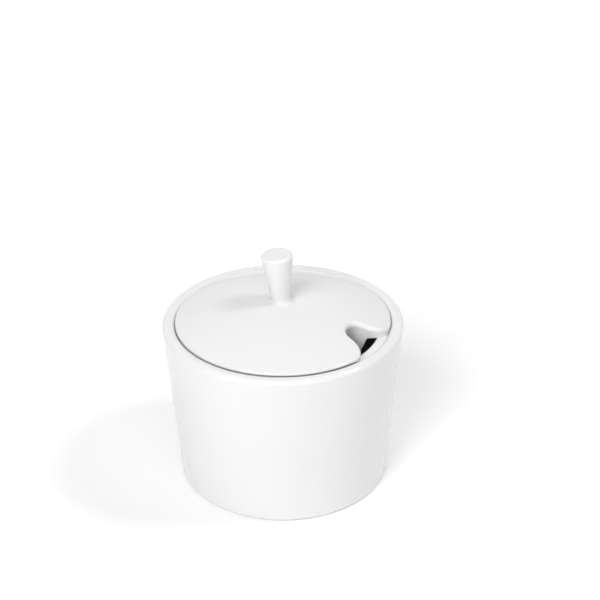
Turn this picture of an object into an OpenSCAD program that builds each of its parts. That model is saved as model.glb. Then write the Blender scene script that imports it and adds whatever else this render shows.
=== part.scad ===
// Covered jam pot in white glazed porcelain: a tapered pot with a sunk seat for its lid, and a
// shallow domed lid with a locating flange, a spoon notch and a flared knob.
// The origin is on the table under the middle of the pot, +Z up, in millimetres.

/* [Pot] */
// Outer diameter at the rim
rim_d = 95; // [80:0.5:120]
// Height from the table to the top of the rim
pot_h = 67.2; // [50:0.1:90]
// Outer diameter where the wall would meet the table
base_d = 82.8; // [70:0.1:110]
// Thickness of the side wall
wall_t = 4.4; // [3:0.1:5.5]
// Thickness of the floor
floor_t = 5; // [3:0.1:8]
// Radius of the cove between the floor and the wall inside
cove_r = 8; // [2:0.5:14]

/* [Rim and lid seat] */
// Thickness of the rim beside the lid
rim_t = 4.5; // [4:0.1:7]
// Rounding of the rim's outer edge
rim_outer_r = 1.6; // [0.4:0.1:2]
// Rounding of the rim's inner edge
rim_inner_r = 1.4; // [0.4:0.1:1.4]
// Depth of the seat below the top of the rim
seat_depth = 2.2; // [1.8:0.1:5]
// Width of the ledge that carries the lid
ledge_w = 5.1; // [3:0.1:7]
// Height of the ledge's upright inner face
ledge_face_h = 2.6; // [2:0.1:5]
// Height over which the ledge's underside runs back to the wall
ledge_back_h = 6; // [3:0.5:12]
// Rounding of the ledge's inner edges
ledge_edge_r = 0.9; // [0.3:0.1:1]

/* [Foot] */
// Width of the foot ring
foot_ring_w = 4.6; // [3:0.1:8]
// Depth of the recess inside the foot ring
foot_recess = 1.6; // [0.8:0.1:3]
// Rounding of the pot's lower outer edge
foot_edge_r = 1.6; // [0.5:0.1:2]
// Rounding of the foot ring's inner edge
foot_inner_r = 0.7; // [0.2:0.1:0.8]

/* [Lid] */
// Gap all round between the lid's edge and the seat wall
lid_gap = 0.6; // [0.4:0.05:1.5]
// Height of the lid's edge above the top of the rim
lid_proud = 0.35; // [0:0.05:2]
// Rise of the dome from the lid's edge to its middle
dome_rise = 8.3; // [5:0.1:14]
// Thickness of the dome
dome_t = 3.8; // [2.5:0.1:4.5]
// Rounding of the lid's upper edge
lid_edge_r = 1.4; // [0.9:0.1:1.6]
// Rounding of the lid's lower edge
lid_under_r = 0.5; // [0.2:0.1:0.6]

/* [Lid flange] */
// Gap all round between the flange at its root and the ledge
flange_gap = 3.4; // [0.8:0.1:5]
// Depth of the flange below the underside of the lid's edge
flange_depth = 8; // [4:0.1:12]
// Thickness of the flange at its root
flange_t = 7; // [6:0.1:9]
// Inward slope of the flange's outside, in degrees
flange_draft = 22; // [2:0.5:24]
// Rounding of the flange's lower edge
flange_tip_r = 1.4; // [0.3:0.1:1.6]
// Fillet between the flange and the underside of the lid's edge
flange_root_r = 1; // [0.3:0.1:2]
// Fillet between the dome's underside and the flange inside
hollow_r = 2; // [1:0.1:2.2]

/* [Spoon notch] */
// Direction that the notch faces, counted from +X, in degrees
notch_dir = -28.8; // [-180:0.1:180]
// Distance from the lid's middle to the notch's round end
notch_reach = 28.9; // [22:0.1:32]
// Radius of the notch's round end
notch_end_r = 5; // [3.5:0.1:6]
// Angle by which each side of the notch opens towards the lid's edge
notch_flare = 15; // [5:1:35]
// Rounding of the two corners at the mouth, seen from above
notch_corner_r = 7.5; // [1:0.1:9]
// Rounding of the notch's upper edge
notch_roll_r = 1.7; // [0.5:0.1:2.2]

/* [Knob] */
// Height of the knob above the dome
knob_h = 20.4; // [14:0.1:28]
// Diameter of the knob at its top
knob_top_d = 12.8; // [10:0.1:18]
// Diameter of the knob's neck
knob_neck_d = 7.7; // [6:0.1:10]
// Rounding of the knob's top edge
knob_edge_r = 1.3; // [0.4:0.1:2.5]
// Fillet between the neck and the dome
neck_fillet_r = 1.6; // [1:0.1:3]
// Lean of the hand-set knob towards -X, in degrees
knob_lean = 4.6; // [0:0.1:6]
// Distance of the hand-set knob from the lid's middle towards -X
knob_shift = 0.5; // [0:0.1:1.5]

/* [Hidden] */
$fn = 180;
porcelain = [0.96, 0.96, 0.95];
// Length by which each cut runs past the faces that it opens
overrun = 3;
// Hair's breadth by which a round runs into the straight sides beside it
lap = 0.002;
// Hair's breadth by which the notch's sides stand inside its round end and corners
notch_lap = 0.06;
// Hair's breadth by which the rounding of the notch's upper edge runs out above the dome
roll_lap = 0.02;
// Radius of the cove where the ledge's underside meets the wall
ledge_cove_r = 5;
// Hair's breadth between the lid's underside and the ledge
rest_gap = 0.02;
// Depth to which the knob's fillet is bedded into the dome
neck_bed = 0.6;
// Most of the gap and of the seat's depth that the fillet in the seat's corner may take
seat_cove_shares = [0.7, 0.25];
// Most of the flange's lower edge that each of its two roundings may take
tip_share = 0.4;

// Radii of the pot
rim_r = rim_d / 2;
base_r = base_d / 2;
wall_slope = (rim_r - base_r) / pot_h;
wall_across = wall_t * sqrt(1 + wall_slope * wall_slope);
foot_ring_in_r = base_r - foot_ring_w;
floor_z = foot_recess + floor_t;

// Seat and ledge
seat_z = pot_h - seat_depth;
seat_r = rim_r - rim_t;
seat_cove_r = min(lid_gap * seat_cove_shares[0], seat_depth * seat_cove_shares[1]);
ledge_r = seat_r - ledge_w;
ledge_low_z = seat_z - ledge_face_h;
ledge_back_z = ledge_low_z - ledge_back_h;

// Lid: the dome is part of a ball around dome_z, and passes through the lid's upper edge
lid_r = seat_r - lid_gap;
under_z = seat_z + rest_gap;
lid_top_z = pot_h + lid_proud;
dome_r = (lid_r * lid_r + dome_rise * dome_rise) / (2 * dome_rise);
apex_z = lid_top_z + dome_rise;
dome_z = apex_z - dome_r;
hollow_dome_r = dome_r - dome_t;
lid_edge_z = round_z(dome_r, lid_r, lid_edge_r);
// Level in the lid's upright edge, between its lower and its upper rounding
lid_side_z = (under_z + lid_under_r + lid_edge_z) / 2;

// Flange, with an upright inside and a sloping outside
flange_r = ledge_r - flange_gap;
flange_in_r = flange_r - flange_t;
flange_z = under_z - flange_depth;
flange_low_r = flange_r - flange_depth * tan(flange_draft);
tip_r = min(flange_tip_r, (flange_low_r - flange_in_r) * tip_share);

// The notch is cut square to the dome, along a line from the dome's ball centre
notch_tilt = asin(notch_reach / dome_r) + asin(notch_end_r / dome_r);
// Ball that rolls along the notch's upper edge, touching the wall and the dome from inside
roll_s = notch_end_r + notch_roll_r;
roll_q = sqrt(pow(dome_r - notch_roll_r, 2) - roll_s * roll_s);
roll_touch = [roll_s, roll_q] * dome_r / (dome_r - notch_roll_r);
// Length of the notch from its round end to past the lid's edge
notch_run = lid_r - notch_reach + overrun;
side_sweep = asin(notch_run / dome_r);

// Knob, along its own leaning axis
neck_r = knob_neck_d / 2;
knob_top_r = knob_top_d / 2;
boss_h = neck_fillet_r - neck_bed;

// Height of the middle of a rounding between a ball around dome_z and an upright side
function round_z(ball_r, side_r, r) = dome_z + sqrt(pow(ball_r - r, 2) - pow(side_r - r, 2));

function wall_r(z) = base_r + wall_slope * z;
function inner_r(z) = wall_r(z) - wall_across;
function unit(v) = v / norm(v);
function turn(a, b) = a.x * b.y - a.y * b.x;
function xy(corner) = [corner.x, corner.y];

// Half of the angle between the two sides that meet at a corner
function half_angle(before, at, after) = acos(unit(before - at) * unit(after - at)) / 2;

// Where a rounding of radius r starts on the side that leads from a corner to its neighbour
function touch(at, to, half, r) = at + unit(to - at) * r / tan(half);

// Outline with a radius at each corner, drawn anticlockwise from [x, y, r] corners
module rounded(corners) {
    last = len(corners) - 1;
    rounds = [for (i = [0 : last])
        let (
            at = xy(corners[i]),
            before = xy(corners[i == 0 ? last : i - 1]),
            after = xy(corners[i == last ? 0 : i + 1]),
            r = corners[i].z,
            half = half_angle(before, at, after),
            middle = at + unit(unit(before - at) + unit(after - at)) * r / sin(half)
        )
        [at, before, after, r, half, middle, turn(at - before, after - at) > 0]];
    difference() {
        union() {
            polygon([for (c = rounds)
                each c[3] == 0 ? [c[0]]
                    : [touch(c[0], c[1], c[4], c[3]), touch(c[0], c[2], c[4], c[3])]]);
            for (c = rounds)
                if (c[3] > 0 && c[6]) translate(c[5]) circle(c[3] + lap);
        }
        for (c = rounds)
            if (c[3] > 0 && !c[6]) translate(c[5]) circle(c[3] + lap);
    }
}

// Half section of the space under a ball of radius ball_r, from low_z up and out to side_r,
// with its upper edge rounded by edge_r
module under_dome(ball_r, side_r, edge_r, low_z) {
    edge_x = side_r - edge_r;
    edge_z = round_z(ball_r, side_r, edge_r);
    translate([0, low_z]) square([side_r, edge_z - low_z]);
    translate([edge_x, edge_z]) circle(edge_r + lap);
    intersection() {
        translate([0, dome_z]) circle(ball_r);
        translate([0, low_z]) square([edge_x * ball_r / (ball_r - edge_r), ball_r]);
    }
}

// Half section of the pot
module pot_section() {
    rounded([
        [0, foot_recess, 0],
        [foot_ring_in_r - foot_recess, foot_recess, foot_inner_r],
        [foot_ring_in_r, 0, foot_inner_r],
        [base_r, 0, foot_edge_r],
        [rim_r, pot_h, rim_outer_r],
        [seat_r, pot_h, rim_inner_r],
        [seat_r, seat_z, seat_cove_r],
        [ledge_r, seat_z, ledge_edge_r],
        [ledge_r, ledge_low_z, ledge_edge_r],
        [inner_r(ledge_back_z), ledge_back_z, ledge_cove_r],
        [inner_r(floor_z), floor_z, cove_r],
        [0, floor_z, 0]
    ]);
}

module pot() {
    color(porcelain) rotate_extrude() pot_section();
}

// Half section of the lid without its notch
module lid_section() {
    difference() {
        union() {
            under_dome(dome_r, lid_r, lid_edge_r, lid_side_z);
            rounded([
                [flange_in_r, flange_z, tip_r],
                [flange_low_r, flange_z, tip_r],
                [flange_r, under_z, flange_root_r],
                [lid_r, under_z, lid_under_r],
                [lid_r, lid_side_z, 0],
                [flange_in_r, lid_side_z, 0]
            ]);
            // Stock that the hollow leaves behind its fillet
            translate([0, under_z - overrun])
                square([(flange_in_r + flange_low_r) / 2, lid_side_z - under_z + overrun]);
        }
        under_dome(hollow_dome_r, flange_in_r, hollow_r, under_z - 2 * overrun);
    }
}

// Section of the notch from start_s to its wall, with the rounded upper edge: x is the distance
// from the notch's axis, y the distance from the middle of the dome's ball
module notch_section(start_s) {
    low = flange_z - flange_depth - dome_z;
    top = dome_r + overrun;
    difference() {
        polygon([
            [start_s, low],
            [notch_end_r, low],
            [notch_end_r, roll_q],
            [roll_s, roll_q],
            roll_touch * top / dome_r,
            [start_s, top]
        ]);
        translate([roll_s, roll_q]) circle(notch_roll_r + roll_lap);
    }
}

// One side of the notch, swept around the middle of the dome's ball, so that its rounded upper
// edge follows the dome
module notch_side() {
    rotate([0, 0, notch_flare])
        rotate([-90, 0, 0])
            rotate([0, 0, -90])
                rotate_extrude(angle = side_sweep)
                    rotate(90)
                        mirror([0, 1])
                            translate([-notch_lap, 0]) notch_section(-notch_end_r / 2);
}

// Space between the two sides of the notch
module notch_middle() {
    mouth = notch_run * [1, tan(notch_flare)];
    translate([0, 0, flange_z - flange_depth - dome_z])
        linear_extrude(dome_r) polygon([[0, 0], [mouth.x, -mouth.y], mouth]);
}

// Space of the spoon notch, square to the dome at its round end
module notch() {
    translate([0, 0, dome_z])
        rotate([0, notch_tilt, 0]) {
            rotate_extrude() notch_section(0);
            notch_side();
            mirror([0, 1, 0]) notch_side();
            notch_middle();
        }
}

// What the rounding of one corner at the notch's mouth takes away. The rounding touches the lid's
// edge, and the notch's side at the level of the lid's top edge
module mouth_corner() {
    across = [-cos(notch_tilt) * sin(notch_flare), cos(notch_flare)];
    out = [across.y, -across.x] / norm(across);
    depth = (notch_end_r - (lid_top_z - dome_z) * sin(notch_tilt) * sin(notch_flare)) / norm(across);
    off = depth + notch_corner_r;
    middle = unit(across) * off + out * sqrt(pow(lid_r - notch_corner_r, 2) - off * off);
    side = middle - unit(across) * (notch_corner_r + overrun);
    translate([0, 0, flange_z])
        linear_extrude(apex_z - flange_z)
            difference() {
                polygon([
                    middle,
                    side,
                    side + out * (notch_corner_r + overrun),
                    unit(middle) * (lid_r + overrun)
                ]);
                translate(middle) circle(notch_corner_r + notch_lap);
            }
}

// Foot of the knob on the dome: a short neck with a fillet round it
module knob_foot() {
    foot_r = neck_r + neck_fillet_r;
    on_knob_axis()
        rotate_extrude()
            difference() {
                translate([0, -dome_t / 2]) square([foot_r, boss_h + dome_t / 2]);
                translate([foot_r, boss_h]) circle(neck_fillet_r);
            }
}

module lid() {
    color(porcelain) {
        difference() {
            rotate_extrude() lid_section();
            rotate([0, 0, notch_dir]) {
                notch();
                mouth_corner();
                mirror([0, 1, 0]) mouth_corner();
            }
        }
        knob_foot();
    }
}

// Places its children on the knob's leaning axis, with z counted up from the dome
module on_knob_axis() {
    translate([-knob_shift, 0, apex_z])
        rotate([0, -knob_lean, 0]) children();
}

module lid_knob() {
    color(porcelain)
        on_knob_axis()
            rotate_extrude()
                rounded([
                    [0, boss_h, 0],
                    [neck_r, boss_h, 0],
                    [knob_top_r, knob_h, knob_edge_r],
                    [0, knob_h, 0]
                ]);
}

pot();
lid();
lid_knob();
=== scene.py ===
"""Looks of a covered jam pot in white glazed porcelain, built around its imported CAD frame.

The pot, the lid and the knob are fine meshes, one for each CAD node, with a gloss glaze and a bare foot
ring under the pot. All lengths are in metres, in the frame's own axes.
"""

import math

import bmesh
import bpy
from bpy.props import FloatProperty, FloatVectorProperty, IntProperty, PointerProperty
from bpy.types import Operator, Panel, PropertyGroup
from mathutils import Euler, Matrix, Vector


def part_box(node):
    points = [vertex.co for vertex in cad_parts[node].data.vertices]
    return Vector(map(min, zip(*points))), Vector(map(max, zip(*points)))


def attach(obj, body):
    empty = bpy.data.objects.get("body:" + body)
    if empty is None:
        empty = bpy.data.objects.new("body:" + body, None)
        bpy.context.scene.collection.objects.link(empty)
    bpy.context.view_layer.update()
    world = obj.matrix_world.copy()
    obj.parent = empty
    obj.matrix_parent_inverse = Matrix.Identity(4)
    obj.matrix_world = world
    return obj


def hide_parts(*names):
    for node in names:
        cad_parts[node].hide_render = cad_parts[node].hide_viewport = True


bl_info = {
    "name": "Jam pot",
    "version": (1, 0, 0),
    "blender": (4, 5, 0),
    "location": "View3D > Sidebar > Jam pot",
    "description": "Builds a glazed jam pot with a notched lid on its CAD frame",
    "category": "Add Mesh",
}

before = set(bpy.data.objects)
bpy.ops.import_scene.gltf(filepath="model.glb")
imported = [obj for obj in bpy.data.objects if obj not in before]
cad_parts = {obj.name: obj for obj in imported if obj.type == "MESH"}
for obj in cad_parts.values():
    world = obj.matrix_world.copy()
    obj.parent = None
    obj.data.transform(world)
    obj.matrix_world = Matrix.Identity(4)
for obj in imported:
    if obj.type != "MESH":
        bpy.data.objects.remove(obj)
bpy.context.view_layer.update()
pot_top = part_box("pot")[1]

POT_BODY = "pot_body"
LID_BODY = "lid_body"

# Mesh attribute that tells rounded edges from hollow corners, and twice the radius that counts in full
EDGE = "glaze_edge"
EDGE_FULL = 0.0035
# Faces that meet at less than this angle are shaded as one surface
SMOOTH_ANGLE = math.radians(40)
# Turn between the points of a rounding, its least number of steps, and the straight kept on either side
ARC_TURN = math.radians(9)
ARC_LEAST = 3
ARC_HOLD = 0.00025
# Longest straight step along the outlines of the pot, the flange and the knob
POT_STRAIGHT = 0.006
FLANGE_STRAIGHT = 0.0015
KNOB_STRAIGHT = 0.0012
# Number of times that a search halves its range
HALVINGS = 48

# Largest share of the flange's lower width that each of its two roundings takes
TIP_SHARE = 0.4
# Exponent of the rebate's curved section
REBATE_CURVE = 0.45
# Widest angle from the notch's middle line at which the corner of its mouth is looked for
MOUTH_WIDEST = math.radians(60)
# Arc that widens the notch's cutter at the mouth, as a number of steps and the degrees of each
CORNER_STEPS = 12
CORNER_DEGREES = 5
# Lower end of the notch's cutter, as a share of the dome's ball
CUTTER_FOOT = 0.75
# Longest way down from the lid's upper edge to its underside, in thicknesses of the dome
LONGEST_DROP = 3

# Rows of the lid's mesh: on the dome, inside its edge, round both edges, in the rebate and further in
DOME_STEPS = 16
BAND_STEPS = 4
ROLL_STEPS = 10
LIP_STEPS = 4
REBATE_STEPS = 5
UNDER_STEPS = 12
# Places of the rows down the lid's edge, as shares of its height
WALL_SHARES = (0.04, 0.35, 0.7, 0.96)
# Distance from the rounding of the lid's upper edge to the next row of the dome
BAND_CLEAR = 0.0002
# Reach of the hollow's fillet inside the flange, as a share of its radius
HOLLOW_REACH = 0.85
# Depth to which the ends of the flange's fillets are sunk into the dome, as a share of the lap
END_LAP = 0.1

# Steps down the knob's foot, and how far its curve follows the neck and the dome at either end
FOOT_STEPS = 24
FOOT_PULL = 0.62

# Share of the glaze's range of tones that it wanders through, and the share that edges and corners take
TONE_WANDER = 0.3
TONE_EDGE = 0.5
# Roughness of the glaze's smoothest and roughest places, as shares of the roughness that is set
GLOSS_RANGE = (0.7, 1.4)
# Tone of the darkest grit in the bare clay and of the darkest fibres in the floor's paper
GRIT_TONE = 0.9
FIBRE_TONE = 0.985

FLOOR_RADIUS = 6.0
FLOOR_STEPS = 96
# Place that the lights point at, and their distance from it
LIGHT_AIM = Vector((0, 0, 0.05))
LIGHT_DISTANCE = 1.3
# Y of the directions from which the surround grows brighter towards the back
SURROUND_START = -0.3
# Width of the camera's sensor in millimetres
SENSOR = 36.0


def length(name, description, default):
    """A size in metres."""
    return FloatProperty(
        name=name, description=description, default=default, min=0.0, precision=5, unit="LENGTH"
    )


def angle(name, description, degrees):
    """An angle, stored in radians."""
    return FloatProperty(
        name=name, description=description, default=math.radians(degrees), subtype="ANGLE"
    )


def colour(name, description, default):
    """A linear colour."""
    return FloatVectorProperty(
        name=name, description=description, default=default, size=4, min=0.0, max=1.0, subtype="COLOR"
    )


def share(name, description, default):
    """A number from 0 to 1."""
    return FloatProperty(
        name=name, description=description, default=default, min=0.0, max=1.0, subtype="FACTOR"
    )


def brightness(name, description, default):
    """Power or brightness of a light."""
    return FloatProperty(name=name, description=description, default=default, min=0.0)


class PotSizes(PropertyGroup):
    """Sizes of the pot, with its rim, lid seat, ledge and foot ring."""

    rim_radius: length("Rim radius", "Outer radius where the wall would meet the top of the rim", 0.0475)
    height: length("Height", "Height from the table to the top of the rim", pot_top.z)
    base_radius: length("Base radius", "Outer radius where the wall would meet the table", 0.0414)
    wall: length("Wall", "Thickness of the side wall", 0.0044)
    floor: length("Floor", "Thickness of the floor", 0.005)
    cove: length("Cove", "Radius between the floor and the wall inside", 0.008)
    rim: length("Rim", "Thickness of the rim beside the lid", 0.00465)
    rim_outer: length("Rim outer edge", "Rounding of the rim's outer edge", 0.0016)
    rim_inner: length("Rim inner edge", "Rounding of the rim's inner edge", 0.0027)
    seat_depth: length("Seat depth", "Depth of the lid's seat below the rim", 0.0022)
    seat_run: length("Seat run", "How far the seat's wall runs in towards its foot", 0.001)
    seat_cove: length("Seat cove", "Fillet in the corner of the seat", 0.0006)
    ledge: length("Ledge", "Width of the ledge that carries the lid", 0.00495)
    ledge_face: length("Ledge face", "Height of the ledge's upright inner face", 0.0026)
    ledge_back: length("Ledge back", "Height over which the ledge runs back to the wall", 0.006)
    ledge_edge: length("Ledge edge", "Rounding of the ledge's inner edges", 0.0009)
    ledge_cove: length("Ledge cove", "Cove where the ledge's underside meets the wall", 0.005)
    foot_ring: length("Foot ring", "Width of the foot ring", 0.0046)
    foot_recess: length("Foot recess", "Depth of the recess inside the foot ring", 0.0016)
    foot_edge: length("Foot edge", "Rounding of the pot's lower outer edge", 0.0016)
    foot_inner: length("Foot inner edge", "Rounding of the foot ring's inner edges", 0.0007)
    wiped: length("Wiped height", "Height to which the glaze is wiped off the foot ring", 0.00035)
    around: IntProperty(name="Steps", description="Steps around the pot", default=288, min=24)


class LidSizes(PropertyGroup):
    """Sizes of the lid's dome, edge and flange."""

    gap: length("Gap", "Gap between the lid's edge and the seat wall", 0.00055)
    proud: length("Proud", "Height of the lid's edge above the rim", 0.00035)
    rise: length("Rise", "Rise of the dome from the lid's edge to its middle", 0.0083)
    dome: length("Dome", "Thickness of the dome", 0.0038)
    edge: length("Edge", "Rounding of the lid's upper edge", 0.0008)
    under: length("Under edge", "Rounding of the lid's lower edge", 0.0003)
    rebate: length("Rebate", "Width of the rebate under the lid's edge", 0.0029)
    rebate_rise: length("Rebate rise", "Height of the rebate at the lid's edge", 0.0017)
    rebate_start: length("Rebate start", "Distance from the notch at which the rebate begins", 0.003)
    rebate_full: length("Rebate full", "Length along which the rebate grows to its full height", 0.006)
    rest_gap: length("Rest gap", "Hair's breadth between the lid and the ledge", 0.00002)
    flange_gap: length("Flange gap", "Gap between the flange at its root and the ledge", 0.0034)
    flange_depth: length("Flange depth", "Depth of the flange below the lid's edge", 0.008)
    flange: length("Flange", "Thickness of the flange at its root", 0.007)
    flange_draft: angle("Flange draft", "Inward slope of the flange's outside", 22.0)
    flange_tip: length("Flange tip", "Rounding of the flange's lower edges", 0.0014)
    flange_root: length("Flange root", "Fillet between the flange and the lid's edge", 0.001)
    hollow: length("Hollow", "Fillet between the dome's underside and the flange", 0.002)
    lap: length("Lap", "Depth to which the flange's root is sunk into the dome", 0.00045)
    hair: length("Hair", "Hair's breadth by which the cut flange stands back", 0.000005)
    band: length("Band", "Width of the band of fine rows inside the lid's edge", 0.0026)
    step: length("Step", "Distance between points along the lid's edge", 0.0009)


class NotchSizes(PropertyGroup):
    """Sizes of the spoon notch, which stands square to the dome at its round end."""

    facing: angle("Facing", "Direction that the notch faces, counted from +X", -28.8)
    reach: length("Reach", "Distance from the lid's middle to the notch's round end", 0.0289)
    end: length("End", "Radius of the notch's round end", 0.005)
    flare: angle("Flare", "Angle by which each side opens towards the lid's edge", 15.0)
    corner: length("Corner", "Rounding of the two corners at the mouth", 0.0075)
    roll: length("Roll", "Rounding of the notch's upper edge", 0.0017)
    crisp: length("Crisp", "Rounding of the notch's lower edge", 0.00015)
    step: length("Step", "Distance between points along the notch", 0.0004)


class KnobSizes(PropertyGroup):
    """Sizes of the knob on its leaning axis."""

    height: length("Height", "Height of the knob above the dome", 0.0204)
    top: length("Top", "Radius of the knob at its top", 0.0064)
    neck: length("Neck", "Radius of the knob's neck", 0.00385)
    edge: length("Edge", "Rounding of the knob's top edge", 0.0013)
    crown: length("Crown", "Rise of the knob's top in its middle", 0.00012)
    foot: length("Foot", "Radius at which the foot runs out into the dome", 0.0058)
    foot_height: length("Foot height", "Height at which the foot runs out into the neck", 0.0024)
    seam: length("Seam", "Height of the seam between the lid and the knob", 0.001)
    lean: angle("Lean", "Lean of the hand-set knob towards -X", 4.6)
    shift: length("Shift", "Distance of the hand-set knob from the lid's middle", 0.0005)
    around: IntProperty(name="Steps", description="Steps around the knob", default=128, min=24)


class FinishSettings(PropertyGroup):
    """Colours and gloss of the glaze and the bare clay."""

    glaze: colour("Glaze", "Colour of the white glaze", (0.775, 0.775, 0.771, 1.0))
    pooled: colour("Pooled glaze", "Colour where the glaze lies thick", (0.752, 0.752, 0.745, 1.0))
    thin: colour("Thin glaze", "Colour where the glaze runs thin over edges", (0.79, 0.79, 0.786, 1.0))
    gloss: share("Gloss roughness", "Roughness of the glaze", 0.1)
    wave: share("Waviness", "Strength of the glaze's faint waviness", 0.06)
    bisque: colour("Bisque", "Colour of the bare foot ring", (0.74, 0.72, 0.68, 1.0))


class StudioSettings(PropertyGroup):
    """Camera, floor and lights."""

    focal: FloatProperty(name="Focal length", description="Focal length in millimetres", default=108.0)
    camera: FloatVectorProperty(
        name="Camera",
        description="Place of the camera",
        default=(0.006745, -0.61497, 0.4143),
        unit="LENGTH",
    )
    tilt: angle("Tilt", "Angle by which the camera looks down", 28.83)
    roll: angle("Roll", "Turn of the camera about its own view line", -0.22)
    floor: colour("Floor", "Colour of the floor", (0.93, 0.93, 0.93, 1.0))
    floor_glow: brightness("Floor glow", "Light that comes through the floor far behind the pot", 0.42)
    floor_near: length("Floor near", "Distance before the pot at which the floor begins to glow", 0.1)
    floor_far: length("Floor far", "Distance behind the pot at which the floor glows in full", 0.42)
    before: brightness("Before", "Strength of the white surround in front", 0.04)
    behind: brightness("Behind", "Strength of the white surround behind", 0.95)
    key: brightness("Key", "Power of the light at the front left", 9.5)
    side: brightness("Side", "Power of the light at the right", 4.6)
    front: brightness("Front", "Power of the wide light in front", 5.3)
    high: brightness("High", "Power of the light high up in front", 2.6)


class JamPotSettings(PropertyGroup):
    """All settings of the jam pot."""

    pot: PointerProperty(type=PotSizes)
    lid: PointerProperty(type=LidSizes)
    notch: PointerProperty(type=NotchSizes)
    knob: PointerProperty(type=KnobSizes)
    finish: PointerProperty(type=FinishSettings)
    studio: PointerProperty(type=StudioSettings)


def turned(point, by):
    """A point of a plan, turned about its origin."""
    c, s = math.cos(by), math.sin(by)
    return Vector((point.x * c - point.y * s, point.x * s + point.y * c))


def between(a, b, t):
    """The value at a share of the way from one to another."""
    return a + (b - a) * t


def eased(t):
    """A share that starts and ends gently."""
    t = min(1.0, max(0.0, t))
    return t * t * (3 - 2 * t)


def rolled(at, to_a, to_b, radius, steps):
    """Points of the rounding between two surfaces that leave the edge at along to_a and to_b."""
    half = to_a.angle(to_b) / 2
    reach = radius / math.tan(half)
    middle = at + (to_a + to_b).normalized() * (radius / math.sin(half))
    start, end = at + to_a * reach - middle, at + to_b * reach - middle
    sweep = start.angle(end)
    points = []
    for k in range(steps + 1):
        from_start, from_end = math.sin(sweep * (1 - k / steps)), math.sin(sweep * k / steps)
        points.append(middle + (start * from_start + end * from_end) / math.sin(sweep))
    return points


def outline(corners, longest):
    """Points along an open run of (r, z, radius) corners, with roundings, and long straights divided."""
    spots = [Vector(corner[:2]) for corner in corners]
    run = [spots[0]]
    for before, at, after, corner in zip(spots, spots[1:], spots[2:], corners[1:]):
        if corner[2] == 0:
            run.append(at)
            continue
        to_a, to_b = (before - at).normalized(), (after - at).normalized()
        steps = max(ARC_LEAST, math.ceil((math.pi - to_a.angle(to_b)) / ARC_TURN))
        arc = rolled(at, to_a, to_b, corner[2], steps)
        run += [arc[0] + to_a * ARC_HOLD, *arc, arc[-1] + to_b * ARC_HOLD]
    run.append(spots[-1])
    points = [run[0]]
    for a, b in zip(run, run[1:]):
        parts = max(1, math.ceil((b - a).length / longest))
        points += [between(a, b, k / parts) for k in range(1, parts + 1)]
    return points


def skin(bm, low, high):
    """Faces between two closed rows of vertices. A row of one vertex is a pole."""
    count = max(len(low), len(high))
    for k in range(count):
        n = (k + 1) % count
        if len(low) == 1:
            bm.faces.new((low[0], high[n], high[k]))
        elif len(high) == 1:
            bm.faces.new((low[k], low[n], high[0]))
        else:
            bm.faces.new((low[k], low[n], high[n], high[k]))


def shell(bm, rows):
    """Faces between each row of vertices and the next."""
    for low, high in zip(rows, rows[1:]):
        skin(bm, low, high)


def row(bm, points):
    """New vertices at points."""
    return [bm.verts.new(point) for point in points]


def mark_edges(bm):
    """Stores how far each vertex lies on a rounded edge (up to 1) or in a hollow corner (down to -1)."""
    bm.normal_update()
    layer = bm.verts.layers.float.new(EDGE)
    for v in bm.verts:
        bend = 0.0
        for e in v.link_edges:
            across = e.other_vert(v).co - v.co
            bend = max(bend, -v.normal.dot(across) / across.length_squared, key=abs)
        v[layer] = max(-1.0, min(1.0, bend * EDGE_FULL))


def placed(bm, name):
    """Turns a bmesh into an object of the scene."""
    mesh = bpy.data.meshes.new(name)
    bm.to_mesh(mesh)
    bm.free()
    made = bpy.data.objects.new(name, mesh)
    bpy.context.scene.collection.objects.link(made)
    return made


def finished(bm, name, body, node, materials):
    """Turns a bmesh into a smooth piece that rides on a body and stands for a CAD node."""
    bmesh.ops.recalc_face_normals(bm, faces=bm.faces)
    mark_edges(bm)
    piece = placed(bm, name)
    piece.data.shade_smooth()
    piece.data.set_sharp_from_angle(angle=SMOOTH_ANGLE)
    for material in materials:
        piece.data.materials.append(material)
    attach(piece, body)
    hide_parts(node)


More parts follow.
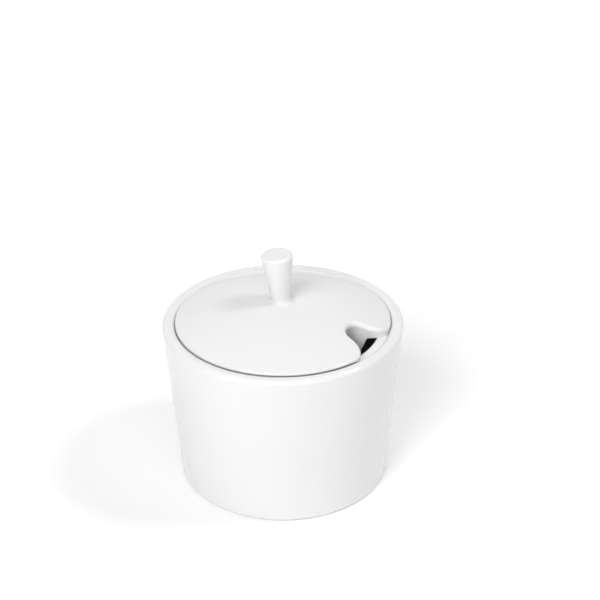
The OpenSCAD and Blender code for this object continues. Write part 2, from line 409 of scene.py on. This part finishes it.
class LidForm:
    """Sizes of the lid that follow from the pot's seat, and the surfaces that bound it."""

    def __init__(self, settings):
        pot, lid, notch = settings.pot, settings.lid, settings.notch
        self.lid, self.notch = lid, notch
        seat_r = pot.rim_radius - pot.rim
        self.radius = seat_r - lid.gap
        self.under_z = pot.height - pot.seat_depth + lid.rest_gap
        self.ball = (self.radius**2 + lid.rise**2) / (2 * lid.rise)
        self.apex_z = pot.height + lid.proud + lid.rise
        self.ball_z = self.apex_z - self.ball
        self.inner_ball = self.ball - lid.dome
        self.flange_r = seat_r - pot.ledge - lid.flange_gap
        self.flange_in = self.flange_r - lid.flange
        self.flange_z = self.under_z - lid.flange_depth
        self.flange_low = self.flange_r - lid.flange_depth * math.tan(lid.flange_draft)
        self.tip = min(lid.flange_tip, (self.flange_low - self.flange_in) * TIP_SHARE)
        self.tilt = math.asin(notch.reach / self.ball) + math.asin(notch.end / self.ball)

    def top(self, x, y):
        """Height of the dome."""
        return self.ball_z + math.sqrt(self.ball**2 - x * x - y * y)

    def on_top(self, spot):
        """Point of the dome above a plan point."""
        return Vector((*spot, self.top(*spot)))

    def ceiling(self, r):
        """Height of the hollow under the dome."""
        return self.ball_z + math.sqrt(self.inner_ball**2 - r * r)

    def rebate_share(self, point):
        """Share of the rebate below a plan point: none at the notch, all away from it."""
        in_notch_axes = turned(point, -self.notch.facing)
        clear = self.clear_of_notch(Vector((*in_notch_axes, self.top(*point))))
        return eased((clear - self.lid.rebate_start) / self.lid.rebate_full)

    def bottom(self, r, rebate):
        """Height of the dome's underside, for a share of the rebate. It slopes inside the flange."""
        inner, outer = self.flange_in - self.lid.lap, self.flange_r - self.lid.lap
        if r <= inner:
            return self.ceiling(r)
        if r >= outer:
            rise = max(0.0, 1 + (r - self.radius) / self.lid.rebate) ** REBATE_CURVE
            return self.under_z + self.lid.rebate_rise * rebate * rise
        return between(self.ceiling(inner), self.under_z, (r - inner) / (outer - inner))

    def on_dome(self, across, aside):
        """Plan point of the dome above a point of the notch's own tilted section."""
        up = math.sqrt(self.ball**2 - across**2 - aside**2)
        return Vector((across * math.cos(self.tilt) + up * math.sin(self.tilt), aside))

    def clear_of_notch(self, point):
        """Distance of a point, in the notch's axes, from the notch's wall. It is negative in the notch."""
        flare, end = self.notch.flare, self.notch.end
        across = point.x * math.cos(self.tilt) - (point.z - self.ball_z) * math.sin(self.tilt)
        aside = abs(point.y)
        if across * math.cos(flare) + aside * math.sin(flare) < 0:
            return math.hypot(across, aside) - end
        return aside * math.cos(flare) - across * math.sin(flare) - end

    def notch_plan(self):
        """Outline of the notch in its own tilted axes, a hair's breadth behind its wall."""
        notch, end = self.notch, self.notch.end + self.lid.hair
        start = len(self.mouth()[0]) * notch.step
        corner = []
        for k in range(CORNER_STEPS + 1):
            a = math.radians(CORNER_DEGREES * k)
            along, off = notch.corner * math.sin(a), notch.corner * (1 - math.cos(a))
            corner.append(self.beside(start + along, end + off))
        first = math.pi / 2 + notch.flare
        steps = 2 * math.ceil(end * (math.pi - first) / notch.step)
        turns = [between(first, math.tau - first, k / steps) for k in range(steps + 1)]
        round_end = [Vector((math.cos(a), math.sin(a))) * end for a in turns]
        return [*reversed(corner), *round_end, *(Vector((p.x, -p.y)) for p in corner)]

    def beside(self, along, off):
        """Point of the notch's own section, at a distance along its side and off its middle line."""
        c, s = math.cos(self.notch.flare), math.sin(self.notch.flare)
        return Vector((along * c - off * s, along * s + off * c))

    def mouth(self):
        """Plan points of the notch's side up to its mouth's corner, and the corner's turn and middle."""
        notch = self.notch
        steps = math.ceil((self.radius - notch.reach) / (notch.step * math.cos(notch.flare)))
        side = [self.on_dome(*self.beside(k * notch.step, notch.end)) for k in range(1, steps + 1)]
        low, high = 0.0, MOUTH_WIDEST
        for _ in range(HALVINGS):
            turn = (low + high) / 2
            middle = Vector((math.cos(turn), math.sin(turn))) * (self.radius - notch.corner)
            nearest = min(range(len(side)), key=lambda k: (side[k] - middle).length)
            inside = self.clear_of_notch(self.on_top(middle)) > 0
            if inside and (side[nearest] - middle).length > notch.corner:
                high = turn
            else:
                low = turn
        return side[: nearest + 1], turn, middle

    def half_edge(self):
        """Points along half of the lid's edge in plan, from the notch's end round to the back.

        Each is (point, share), where share is 1 on the notch's wall and 0 on the lid's round edge.
        """
        notch, first = self.notch, math.pi / 2 + self.notch.flare
        steps = math.ceil(notch.end * (math.pi - first) / notch.step)
        turns = [between(math.pi, first, k / steps) for k in range(steps + 1)]
        run = [(self.on_dome(notch.end * math.cos(a), notch.end * math.sin(a)), 1.0) for a in turns]
        side, turn, middle = self.mouth()
        run += [(point, 1.0) for point in side[:-1]]

        start = (side[-1] - middle).normalized()
        sweep = start.angle(middle)
        steps = math.ceil(notch.corner * sweep / notch.step)
        for k in range(steps + 1):
            spoke = turned(start, sweep * k / steps)
            run.append((middle + spoke * notch.corner, 1.0 - eased(k / steps)))

        steps = math.ceil(self.radius * (math.pi - turn) / self.lid.step)
        for k in range(1, steps + 1):
            a = between(turn, math.pi, k / steps)
            run.append((Vector((math.cos(a), math.sin(a))) * self.radius, 0.0))
        return run

    def edge(self):
        """The lid's whole edge in plan, in the frame's axes, as (point, inward direction, share)."""
        half = self.half_edge()
        ring = half + [(Vector((p.x, -p.y)), s) for p, s in reversed(half[1:-1])]
        found = []
        for k, (point, s) in enumerate(ring):
            along = (ring[(k + 1) % len(ring)][0] - ring[k - 1][0]).normalized()
            inward = Vector((-along.y, along.x))
            found.append((turned(point, self.notch.facing), turned(inward, self.notch.facing), s))
        return found


class KnobForm:
    """Places on the knob's leaning axis, and the foot by which it runs out into the dome."""

    def __init__(self, settings, lid_form):
        self.knob, self.lid_form = settings.knob, lid_form
        lean = Matrix.Rotation(-self.knob.lean, 4, "Y")
        self.place = Matrix.Translation((-self.knob.shift, 0, lid_form.apex_z)) @ lean
        self.back = self.place.inverted()

    def at(self, r, turn, h):
        """Point at a radius, an angle and a height on the knob's own axis."""
        return self.place @ Vector((r * math.cos(turn), r * math.sin(turn), h))

    def side_r(self, h):
        """Radius of the knob's straight flare."""
        knob = self.knob
        return between(knob.neck, knob.top, (h - knob.seam) / (knob.height - knob.seam))

    def foot(self, turn):
        """Points of the foot from the neck down to the dome, at an angle about the axis."""
        knob, form = self.knob, self.lid_form
        neck = self.at(self.side_r(knob.foot_height), turn, knob.foot_height)
        down = (self.at(self.side_r(0), turn, 0) - neck).normalized()
        out = Vector((math.cos(turn), math.sin(turn)))
        end = out * knob.foot + Vector((-knob.shift, 0))
        dome = form.on_top(end)
        slope = dome.xy.dot(out) / (dome.z - form.ball_z)
        inward = Vector((-out.x, -out.y, slope)).normalized()
        a = neck + down * (knob.foot_height * FOOT_PULL)
        b = dome + inward * ((knob.foot - knob.neck) * FOOT_PULL)
        return [
            neck * (1 - t) ** 3 + a * (3 * t * (1 - t) ** 2) + b * (3 * t * t * (1 - t)) + dome * t**3
            for t in (k / FOOT_STEPS for k in range(FOOT_STEPS + 1))
        ]

    def parted_foot(self, turn):
        """The foot's points above the seam, and those from the seam down, with the seam's in both."""
        run = self.foot(turn)
        heights = [(self.back @ point).z for point in run]
        cut = next(k for k, h in enumerate(heights) if h < self.knob.seam)
        t = (heights[cut - 1] - self.knob.seam) / (heights[cut - 1] - heights[cut])
        seam = between(run[cut - 1], run[cut], t)
        return run[: cut - 1] + [seam], [seam] + run[cut + 1 :]


def new_material(name):
    """A new material, with its nodes, its links and its shader."""
    material = bpy.data.materials.new(name)
    material.use_nodes = True
    tree = material.node_tree
    return material, tree.nodes, tree.links, tree.nodes["Principled BSDF"]


def noise(nodes, links, scale, detail):
    """Noise through the object's own space."""
    place = nodes.new("ShaderNodeTexCoord")
    texture = nodes.new("ShaderNodeTexNoise")
    texture.inputs["Scale"].default_value = scale
    texture.inputs["Detail"].default_value = detail
    links.new(place.outputs["Object"], texture.inputs["Vector"])
    return texture.outputs["Fac"]


def rough_between(nodes, links, shader, pattern, smoothest, roughest):
    """Lets a pattern set the shader's roughness."""
    ramp = nodes.new("ShaderNodeMapRange")
    ramp.inputs["To Min"].default_value = smoothest
    ramp.inputs["To Max"].default_value = roughest
    links.new(pattern, ramp.inputs["Value"])
    links.new(ramp.outputs["Result"], shader.inputs["Roughness"])


def raised(nodes, links, shader, pattern, strength, distance):
    """Lets a pattern raise the shader's surface a little."""
    bump = nodes.new("ShaderNodeBump")
    bump.inputs["Strength"].default_value = strength
    bump.inputs["Distance"].default_value = distance
    links.new(pattern, bump.inputs["Height"])
    links.new(bump.outputs["Normal"], shader.inputs["Normal"])


def speckled(nodes, links, shader, pattern, plain, darkest):
    """Lets a pattern set the shader's colour, from its darkest tone up to the plain colour."""
    tint = nodes.new("ShaderNodeValToRGB")
    tint.color_ramp.elements[0].color = [c * darkest for c in plain[:3]] + [1.0]
    tint.color_ramp.elements[1].color = plain
    links.new(pattern, tint.inputs["Fac"])
    links.new(tint.outputs["Color"], shader.inputs["Base Color"])


def glaze(name, finish):
    """White gloss glaze: faint waviness, a slight change of tone, thin on edges and thick in corners."""
    material, nodes, links, shader = new_material(name)
    shader.inputs["IOR"].default_value = 1.46

    wander = nodes.new("ShaderNodeMath")
    wander.operation = "MULTIPLY_ADD"
    wander.inputs[1].default_value = TONE_WANDER
    wander.inputs[2].default_value = -TONE_WANDER / 2
    links.new(noise(nodes, links, scale=38.0, detail=3.0), wander.inputs[0])

    edge = nodes.new("ShaderNodeAttribute")
    edge.attribute_name = EDGE
    depth = nodes.new("ShaderNodeMath")
    depth.operation = "MULTIPLY_ADD"
    depth.inputs[1].default_value = TONE_EDGE
    links.new(edge.outputs["Fac"], depth.inputs[0])
    links.new(wander.outputs["Value"], depth.inputs[2])

    ramp = nodes.new("ShaderNodeMapRange")
    ramp.inputs["From Min"].default_value = -0.5
    ramp.inputs["From Max"].default_value = 0.5
    links.new(depth.outputs["Value"], ramp.inputs["Value"])
    tint = nodes.new("ShaderNodeValToRGB")
    tint.color_ramp.elements[0].color = finish.pooled
    tint.color_ramp.elements[1].color = finish.thin
    tint.color_ramp.elements.new(0.5).color = finish.glaze
    links.new(ramp.outputs["Result"], tint.inputs["Fac"])
    links.new(tint.outputs["Color"], shader.inputs["Base Color"])

    smoothest, roughest = (finish.gloss * part for part in GLOSS_RANGE)
    rough_between(nodes, links, shader, noise(nodes, links, scale=160.0, detail=4.0), smoothest, roughest)
    raised(nodes, links, shader, noise(nodes, links, scale=85.0, detail=1.0), finish.wave, distance=0.001)
    return material


def bare_clay(name, finish):
    """Fired clay without glaze: matt and finely gritty."""
    material, nodes, links, shader = new_material(name)
    shader.inputs["Specular IOR Level"].default_value = 0.3
    grit = noise(nodes, links, scale=2200.0, detail=6.0)
    speckled(nodes, links, shader, grit, finish.bisque, GRIT_TONE)
    rough_between(nodes, links, shader, grit, smoothest=0.7, roughest=0.9)
    raised(nodes, links, shader, grit, strength=0.25, distance=0.0001)
    return material


def floor_paper(name, studio):
    """Matt white paper, lit from below towards the back."""
    material, nodes, links, shader = new_material(name)
    shader.inputs["Roughness"].default_value = 0.9
    shader.inputs["Specular IOR Level"].default_value = 0.0
    shader.inputs["Emission Color"].default_value = studio.floor
    place = nodes.new("ShaderNodeTexCoord")
    axes = nodes.new("ShaderNodeSeparateXYZ")
    links.new(place.outputs["Object"], axes.inputs["Vector"])
    glow = nodes.new("ShaderNodeMapRange")
    glow.inputs["From Min"].default_value = -studio.floor_near
    glow.inputs["From Max"].default_value = studio.floor_far
    glow.inputs["To Max"].default_value = studio.floor_glow
    links.new(axes.outputs["Y"], glow.inputs["Value"])
    links.new(glow.outputs["Result"], shader.inputs["Emission Strength"])
    fibre = nodes.new("ShaderNodeTexNoise")
    fibre.inputs["Scale"].default_value = 400.0
    speckled(nodes, links, shader, fibre.outputs["Fac"], studio.floor, FIBRE_TONE)
    return material


class JAMPOT_OT_build_pot(Operator):
    """Builds the tapered pot with its rim, lid seat, ledge and foot ring"""

    bl_idname = "jampot.build_pot"
    bl_label = "Build pot"

    def execute(self, context):
        settings = context.scene.jam_pot
        pot = settings.pot
        slope = (pot.rim_radius - pot.base_radius) / pot.height
        across = pot.wall * math.hypot(1, slope)

        def inner(z):
            return pot.base_radius + slope * z - across

        ring_r = pot.base_radius - pot.foot_ring
        floor_z = pot.foot_recess + pot.floor
        seat_z, seat_r = pot.height - pot.seat_depth, pot.rim_radius - pot.rim
        ledge_r, ledge_z = seat_r - pot.ledge, seat_z - pot.ledge_face
        back_z = ledge_z - pot.ledge_back
        profile = outline(
            [
                (0, pot.foot_recess, 0),
                (ring_r - pot.foot_recess, pot.foot_recess, pot.foot_inner),
                (ring_r, 0, pot.foot_inner),
                (pot.base_radius, 0, pot.foot_edge),
                (pot.rim_radius, pot.height, pot.rim_outer),
                (seat_r, pot.height, pot.rim_inner),
                (seat_r - pot.seat_run, seat_z, pot.seat_cove),
                (ledge_r, seat_z, pot.ledge_edge),
                (ledge_r, ledge_z, pot.ledge_edge),
                (inner(back_z), back_z, pot.ledge_cove),
                (inner(floor_z), floor_z, pot.cove),
                (0, floor_z, 0),
            ],
            POT_STRAIGHT,
        )
        bm = bmesh.new()
        turns = [math.tau * k / pot.around for k in range(pot.around)]
        rows = []
        for r, z in profile:
            if r == 0:
                rows.append(row(bm, [(0, 0, z)]))
            else:
                rows.append(row(bm, [(r * math.cos(a), r * math.sin(a), z) for a in turns]))
        shell(bm, rows)
        for face in bm.faces:
            if max(v.co.z for v in face.verts) < pot.wiped:
                face.material_index = 1
        finish = settings.finish
        materials = [glaze("pot_glaze", finish), bare_clay("bare_foot", finish)]
        finished(bm, "pot_glazed", POT_BODY, "pot", materials)
        return {"FINISHED"}


class JAMPOT_OT_build_lid(Operator):
    """Builds the domed lid with its spoon notch, its flange and the foot of the knob"""

    bl_idname = "jampot.build_lid"
    bl_label = "Build lid"

    def execute(self, context):
        settings = context.scene.jam_pot
        form = LidForm(settings)
        bm = bmesh.new()
        self.build_dome(bm, form, KnobForm(settings, form))
        self.build_flange(bm, form)
        materials = [glaze("lid_glaze", settings.finish)]
        finished(bm, "lid_glazed", LID_BODY, "lid", materials)
        return {"FINISHED"}

    def build_dome(self, bm, form, knob_form):
        """The plate of the lid: dome, rolled edge, notch wall and underside, in rows along its edge."""
        lid, notch = form.lid, form.notch
        ring = form.edge()
        corners = [form.on_top(point) for point, _, _ in ring]
        plumb = Vector((0, 0, -1))
        notch_down = Vector((-math.sin(form.tilt), 0, -math.cos(form.tilt)))
        notch_down.rotate(Euler((0, 0, notch.facing)))
        columns = []
        for k, (point, inward, s) in enumerate(ring):
            corner = corners[k]
            along = (corners[(k + 1) % len(ring)] - corners[k - 1]).normalized()
            slope = -point.dot(inward) / (corner.z - form.ball_z)
            over = Vector((*inward, slope)).normalized()
            down = between(plumb, notch_down, s).normalized()
            square = (down - along * down.dot(along)).normalized()
            roll = rolled(corner, over, square, between(lid.edge, notch.roll, s), ROLL_STEPS)
            upper = self.upper_points(form, knob_form, point, inward, roll[0])
            rebate = form.rebate_share(point)
            base = self.foot_of_wall(form, roll[-1], down, rebate)
            lip_r = between(lid.under, notch.crisp, s)
            lip = self.lower_edge(form, base, inward, square, lip_r, rebate)
            wall = [between(roll[-1], lip[0], t) for t in WALL_SHARES]
            columns.append(upper + roll + wall + lip + self.under_points(form, lip[-1], rebate))

        rows = [row(bm, points) for points in zip(*columns)]
        seam_middle = row(bm, [knob_form.at(0, 0, knob_form.knob.seam)])
        hollow_middle = row(bm, [(0, 0, form.ceiling(0))])
        shell(bm, [seam_middle, *rows, hollow_middle])

    def upper_points(self, form, knob_form, point, inward, roll_start):
        """Points from the knob's seam down its foot and over the dome to the start of the rolled edge."""
        near = (roll_start.xy - point).dot(inward) + BAND_CLEAR
        band = []
        for k in range(BAND_STEPS + 1):
            band.append(form.on_top(point + inward * between(form.lid.band, near, k / BAND_STEPS)))
        out = band[0].xy - Vector((-knob_form.knob.shift, 0))
        _, foot = knob_form.parted_foot(math.atan2(out.y, out.x))
        dome = []
        for k in range(1, DOME_STEPS):
            dome.append(form.on_top(between(foot[-1].xy, band[0].xy, k / DOME_STEPS)))
        return foot + dome + band

    def foot_of_wall(self, form, start, down, rebate):
        """Point where the wall of the lid's edge, or of the notch, meets the underside."""
        low, high = 0.0, form.lid.dome * LONGEST_DROP
        for _ in range(HALVINGS):
            t = (low + high) / 2
            spot = start + down * t
            if spot.z > form.bottom(spot.xy.length, rebate):
                low = t
            else:
                high = t
        return start + down * high

    def lower_edge(self, form, base, inward, square, radius, rebate):
        """Points round the lower edge, which is left sharp where the flange hides it."""
        lid = form.lid
        inner = base.xy + inward * lid.under
        inside = (Vector((*inner, form.bottom(inner.length, rebate))) - base).normalized()
        seen = eased((base.xy.length - form.flange_r) / lid.flange_root)
        lip = rolled(base, -square, inside, between(lid.hair, radius, seen), LIP_STEPS)
        return [Vector((p.x, p.y, max(p.z, form.bottom(p.xy.length, rebate)))) for p in lip]

    def under_points(self, form, lip_end, rebate):
        """Points along the underside, from the lower edge in to the lid's middle."""
        start = lip_end.xy.length
        rebate_end = start - form.lid.rebate
        radii = [between(start, rebate_end, k / REBATE_STEPS) for k in range(1, REBATE_STEPS + 1)]
        radii += [rebate_end * (1 - k / UNDER_STEPS) for k in range(1, UNDER_STEPS)]
        return [Vector((*(lip_end.xy * (r / start)), form.bottom(r, rebate))) for r in radii]

    def build_flange(self, bm, form):
        """The flange under the dome, a turned ring with the notch cut out of it."""
        lid, notch = form.lid, form.notch
        sunk = form.flange_r + lid.flange_root
        brow = form.flange_in - lid.hollow * HOLLOW_REACH
        section = outline(
            [
                (sunk, form.under_z + lid.lap * END_LAP, 0),
                (form.flange_r, form.under_z, lid.flange_root),
                (form.flange_low, form.flange_z, form.tip),
                (form.flange_in, form.flange_z, form.tip),
                (form.flange_in, form.ceiling(form.flange_in), lid.hollow),
                (brow, form.ceiling(brow) + lid.lap * END_LAP, 0),
                (brow, form.ceiling(brow) + lid.lap, 0),
                (form.flange_in, form.ceiling(form.flange_in) + lid.lap, 0),
                (form.flange_r, form.under_z + 2 * lid.lap, 0),
                (sunk, form.under_z + lid.lap, 0),
            ],
            FLANGE_STRAIGHT,
        )
        ring = bmesh.new()
        steps = math.ceil(math.tau * form.flange_r / lid.step)
        turns = [math.tau * k / steps for k in range(steps)]
        rows = [row(ring, [(r * math.cos(a), r * math.sin(a), z) for r, z in section]) for a in turns]
        shell(ring, rows + rows[:1])

        cutter = bmesh.new()
        place = Matrix.Translation((0, 0, form.ball_z)) @ Matrix.Rotation(notch.facing, 4, "Z")
        place @= Matrix.Rotation(form.tilt, 4, "Y")
        plan = form.notch_plan()
        heights = (form.ball * CUTTER_FOOT, form.ball)
        ends = [row(cutter, [place @ Vector((*p, h)) for p in plan]) for h in heights]
        skin(cutter, *ends)
        for end in ends:
            cutter.faces.new(end)

        for solid in (ring, cutter):
            bmesh.ops.recalc_face_normals(solid, faces=solid.faces)
        whole, tool = placed(ring, "flange_ring"), placed(cutter, "notch_cutter")
        cut = whole.modifiers.new("notch", "BOOLEAN")
        cut.object = tool
        cut.solver = "EXACT"
        cut_ring = whole.evaluated_get(bpy.context.evaluated_depsgraph_get())
        bm.from_mesh(cut_ring.to_mesh())
        cut_ring.to_mesh_clear()
        for solid in (whole, tool):
            bpy.data.meshes.remove(solid.data)


class JAMPOT_OT_build_knob(Operator):
    """Builds the flared knob above its seam on the lid"""

    bl_idname = "jampot.build_knob"
    bl_label = "Build knob"

    def execute(self, context):
        settings = context.scene.jam_pot
        knob = settings.knob
        form = KnobForm(settings, LidForm(settings))
        flare = outline(
            [
                (form.side_r(knob.foot_height), knob.foot_height, 0),
                (knob.top, knob.height - knob.crown, knob.edge),
                (0, knob.height, 0),
            ],
            KNOB_STRAIGHT,
        )
        columns = []
        for k in range(knob.around):
            turn = math.tau * k / knob.around
            above, _ = form.parted_foot(turn)
            columns.append(above[:0:-1] + [form.at(r, turn, z) for r, z in flare[:-1]])
        bm = bmesh.new()
        rows = [row(bm, points) for points in zip(*columns)]
        seam_middle, top_middle = (row(bm, [form.at(0, 0, h)]) for h in (knob.seam, knob.height))
        shell(bm, [seam_middle, *rows, top_middle])
        materials = [glaze("knob_glaze", settings.finish)]
        finished(bm, "knob_glazed", LID_BODY, "lid_knob", materials)
        return {"FINISHED"}


class JAMPOT_OT_build_stage(Operator):
    """Sets up the pale floor, the soft lights and the camera"""

    bl_idname = "jampot.build_stage"
    bl_label = "Build stage"

    def execute(self, context):
        scene = context.scene
        studio = scene.jam_pot.studio
        self.build_floor(studio)
        self.build_surround(scene, studio)
        self.build_lights(scene, studio)
        self.build_camera(scene, studio)
        scene.view_settings.view_transform = "Standard"
        return {"FINISHED"}

    def build_floor(self, studio):
        """A wide disc of paper under the pot."""
        bm = bmesh.new()
        bmesh.ops.create_circle(bm, cap_ends=True, radius=FLOOR_RADIUS, segments=FLOOR_STEPS)
        floor = placed(bm, "floor")
        floor.data.materials.append(floor_paper("floor_paper", studio))

    def build_surround(self, scene, studio):
        """A white surround, dim in front of the pot and bright behind it."""
        world = bpy.data.worlds.new("studio_surround")
        world.use_nodes = True
        nodes, links = world.node_tree.nodes, world.node_tree.links
        surround = nodes["Background"]
        surround.inputs["Color"].default_value = (1.0, 1.0, 1.0, 1.0)
        place = nodes.new("ShaderNodeTexCoord")
        axes = nodes.new("ShaderNodeSeparateXYZ")
        links.new(place.outputs["Generated"], axes.inputs["Vector"])
        glow = nodes.new("ShaderNodeMapRange")
        glow.interpolation_type = "SMOOTHSTEP"
        glow.inputs["From Min"].default_value = SURROUND_START
        glow.inputs["To Min"].default_value = studio.before
        glow.inputs["To Max"].default_value = studio.behind
        links.new(axes.outputs["Y"], glow.inputs["Value"])
        links.new(glow.outputs["Result"], surround.inputs["Strength"])
        scene.world = world

    def build_lights(self, scene, studio):
        """Square soft lights, each at an azimuth from +X and an elevation in degrees."""
        for name, azimuth, elevation, width, power in (
            ("key_light", -118, 40, 0.65, studio.key),
            ("side_light", -3, 54, 0.3, studio.side),
            ("front_light", -90, 25, 1.2, studio.front),
            ("high_light", -90, 62, 1.0, studio.high),
        ):
            a, e = math.radians(azimuth), math.radians(elevation)
            out = Vector((math.cos(a) * math.cos(e), math.sin(a) * math.cos(e), math.sin(e)))
            lamp = bpy.data.lights.new(name, "AREA")
            lamp.shape = "SQUARE"
            lamp.size = width
            lamp.energy = power
            light = bpy.data.objects.new(name, lamp)
            light.location = LIGHT_AIM + out * LIGHT_DISTANCE
            light.rotation_euler = (-out).to_track_quat("-Z", "Y").to_euler()
            scene.collection.objects.link(light)

    def build_camera(self, scene, studio):
        """The camera, at the photograph's angle."""
        lens = bpy.data.cameras.new("camera")
        lens.lens = studio.focal
        lens.sensor_width = SENSOR
        camera = bpy.data.objects.new("camera", lens)
        look = Matrix.Rotation(math.pi / 2 - studio.tilt, 4, "X")
        look @= Matrix.Rotation(studio.roll, 4, "Z")
        camera.matrix_world = Matrix.Translation(studio.camera) @ look
        scene.collection.objects.link(camera)
        scene.camera = camera


class VIEW3D_PT_jam_pot(Panel):
    """Sizes and finishes of the jam pot"""

    bl_label = "Jam pot"
    bl_space_type = "VIEW_3D"
    bl_region_type = "UI"
    bl_category = "Jam pot"

    def draw(self, context):
        settings = context.scene.jam_pot
        for group, label, operator in (
            (settings.pot, "Pot", "jampot.build_pot"),
            (settings.lid, "Lid", "jampot.build_lid"),
            (settings.notch, "Spoon notch", None),
            (settings.knob, "Knob", "jampot.build_knob"),
            (settings.finish, "Finish", None),
            (settings.studio, "Stage", "jampot.build_stage"),
        ):
            box = self.layout.box()
            box.label(text=label)
            for name in group.__annotations__:
                box.prop(group, name)
            if operator:
                box.operator(operator)


CLASSES = (
    PotSizes,
    LidSizes,
    NotchSizes,
    KnobSizes,
    FinishSettings,
    StudioSettings,
    JamPotSettings,
    JAMPOT_OT_build_pot,
    JAMPOT_OT_build_lid,
    JAMPOT_OT_build_knob,
    JAMPOT_OT_build_stage,
    VIEW3D_PT_jam_pot,
)


def register():
    for cls in CLASSES:
        bpy.utils.register_class(cls)
    bpy.types.Scene.jam_pot = PointerProperty(type=JamPotSettings)


def unregister():
    del bpy.types.Scene.jam_pot
    for cls in reversed(CLASSES):
        bpy.utils.unregister_class(cls)


def main():
    register()
    bpy.ops.jampot.build_stage()
    bpy.ops.jampot.build_pot()
    bpy.ops.jampot.build_lid()
    bpy.ops.jampot.build_knob()


if __name__ == "__main__":
    main()
